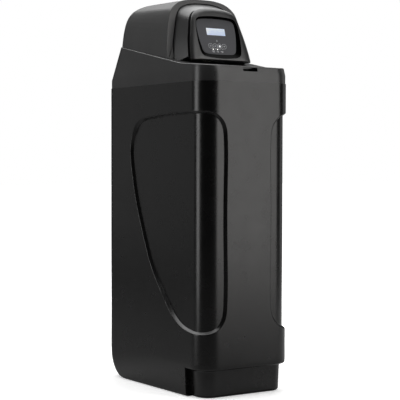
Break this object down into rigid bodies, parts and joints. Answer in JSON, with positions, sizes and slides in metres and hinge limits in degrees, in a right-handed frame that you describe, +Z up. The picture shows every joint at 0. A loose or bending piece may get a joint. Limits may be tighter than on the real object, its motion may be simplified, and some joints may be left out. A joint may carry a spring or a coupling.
{
  "type": "water softener",
  "caption": "Black cabinet water softener with a salt lid, lift-off hood, tilted control face with screen and keys, and a resin tank, control valve and brine system inside.",
  "frame": {"origin": "centre of the cabinet's outline on the floor", "axes": "+Z up, the control face towards -Y, the pipe connections towards +Y"},
  "size_m": [0.32, 0.5602, 1.1511],
  "materials": {
    "cabinet_black": "satin",
    "hood_black": "satin",
    "face_black": "satin",
    "membrane": "satin",
    "display_glass": "clear",
    "lamp_plastic": "clear",
    "key_plastic": "satin",
    "circuit_board": "satin",
    "screen_plastic": "matt",
    "steel": "brushed",
    "tank_grey": "wound fibre",
    "boot_black": "matt",
    "resin": "granular",
    "white_plastic": "satin",
    "valve_plastic": "matt",
    "seal_plastic": "matt",
    "piston_plastic": "satin",
    "gear_plastic": "satin",
    "motor_steel": "satin",
    "handle_red": "satin",
    "nut_plastic": "matt",
    "tube_plastic": "translucent",
    "grey_plastic": "satin",
    "float_blue": "satin",
    "rubber": "matt",
    "cable": "matt"
  },
  "bodies": {
    "cabinet_body": {"cabinet": "cabinet_black", "deck": "cabinet_black", "hinge_pins": "steel", "lid_bumpers": "rubber", "display_housing": "face_black", "face_frame": "face_black", "face_overlay": "membrane", "screen_window": "display_glass", "lamp_lenses": "lamp_plastic", "display_board": "circuit_board", "screen_module": "screen_plastic", "board_screws": "steel", "resin_tank": "tank_grey", "tank_boot": "boot_black", "lower_strainer": "grey_plastic", "riser_tube": "grey_plastic", "resin_bed": "resin", "upper_strainer": "grey_plastic", "valve_body": "valve_plastic", "seal_stack": "seal_plastic", "front_retainer": "nut_plastic", "drive_bracket": "nut_plastic", "bracket_screws": "steel", "gear_motor": "motor_steel", "injector_cap": "nut_plastic", "brine_elbow": "white_plastic", "drain_elbow": "nut_plastic", "meter_carrier": "white_plastic", "bypass_body": "valve_plastic", "bypass_clips": "steel", "inlet_nut": "nut_plastic", "outlet_nut": "nut_plastic", "inlet_tail": "grey_plastic", "outlet_tail": "grey_plastic", "brine_tube": "tube_plastic", "brine_well": "white_plastic", "brine_pickup": "grey_plastic", "air_check": "grey_plastic", "overflow_elbow": "grey_plastic", "overflow_grommet": "rubber", "overflow_nut": "grey_plastic", "power_inlet": "cable", "motor_lead": "cable", "power_lead": "cable"},
    "salt_lid_body": {"salt_lid": "cabinet_black"},
    "hood_body": {"hood": "hood_black"},
    "key_1_body": {"key_1": "key_plastic"},
    "key_2_body": {"key_2": "key_plastic"},
    "key_3_body": {"key_3": "key_plastic"},
    "key_4_body": {"key_4": "key_plastic"},
    "gear_body": {"main_gear": "gear_plastic"},
    "pinion_body": {"pinion": "gear_plastic"},
    "piston_body": {"piston": "piston_plastic"},
    "turbine_body": {"meter_turbine": "float_blue"},
    "mixing_body": {"mixing_knob": "grey_plastic"},
    "inlet_handle_body": {"inlet_handle": "handle_red"},
    "outlet_handle_body": {"outlet_handle": "handle_red"},
    "float_body": {"brine_float": "float_blue"},
    "well_cap_body": {"well_cap": "white_plastic"}
  },
  "joints": [
    {"name": "salt_lid_hinge", "type": "hinge", "parent": "cabinet_body", "child": "salt_lid_body", "pos_m": [0, -0.145, 0.94381], "axis": [-1, 0, 0], "range_deg": [0, 90]},
    {"name": "hood_lift", "type": "slide", "parent": "cabinet_body", "child": "hood_body", "axis": [0, 0.1628, 0.9867], "range_m": [0, 0.25]},
    {"name": "key_1_press", "type": "slide", "parent": "cabinet_body", "child": "key_1_body", "axis": [0, 0.9586, -0.2847], "range_m": [0, 0.0005], "stiffness_N_per_m": 1000},
    {"name": "key_2_press", "type": "slide", "parent": "cabinet_body", "child": "key_2_body", "axis": [0, 0.9586, -0.2847], "range_m": [0, 0.0005], "stiffness_N_per_m": 1000},
    {"name": "key_3_press", "type": "slide", "parent": "cabinet_body", "child": "key_3_body", "axis": [0, 0.9586, -0.2847], "range_m": [0, 0.0005], "stiffness_N_per_m": 1000},
    {"name": "key_4_press", "type": "slide", "parent": "cabinet_body", "child": "key_4_body", "axis": [0, 0.9586, -0.2847], "range_m": [0, 0.0005], "stiffness_N_per_m": 1000},
    {"name": "gear_turn", "type": "hinge", "parent": "cabinet_body", "child": "gear_body", "pos_m": [0, -0.021, 0.985], "axis": [0, 1, 0], "range_deg": [0, 720]},
    {"name": "pinion_turn", "type": "hinge", "parent": "cabinet_body", "child": "pinion_body", "pos_m": [0, -0.021, 1.033], "axis": [0, 1, 0], "range_deg": [-3250, 0]},
    {"name": "piston_slide", "type": "slide", "parent": "cabinet_body", "child": "piston_body", "axis": [0, 1, 0], "range_m": [0, 0.0321]},
    {"name": "turbine_spin", "type": "hinge", "parent": "cabinet_body", "child": "turbine_body", "pos_m": [-0.042, 0.147, 0.985], "axis": [0, 1, 0], "continuous": true},
    {"name": "mixing_turn", "type": "hinge", "parent": "cabinet_body", "child": "mixing_body", "pos_m": [0.042, 0.12, 1], "axis": [0, 0, 1], "range_deg": [0, 270]},
    {"name": "inlet_handle_turn", "type": "hinge", "parent": "cabinet_body", "child": "inlet_handle_body", "pos_m": [0.042, 0.184, 1], "axis": [0, 0, 1], "range_deg": [0, 90]},
    {"name": "outlet_handle_turn", "type": "hinge", "parent": "cabinet_body", "child": "outlet_handle_body", "pos_m": [-0.042, 0.184, 1], "axis": [0, 0, 1], "range_deg": [-90, 0]},
    {"name": "float_rise", "type": "slide", "parent": "cabinet_body", "child": "float_body", "axis": [0, 0, 1], "range_m": [0, 0.03]},
    {"name": "well_cap_lift", "type": "slide", "parent": "cabinet_body", "child": "well_cap_body", "axis": [0, 0, 1], "range_m": [0, 0.02]}
  ],
  "couplings": [
    {"joint": "pinion_turn", "follows": "gear_turn", "ratio": -4.3333},
    {"joint": "piston_slide", "follows": "gear_turn", "m_per_rad": 0.0025465}
  ]
}
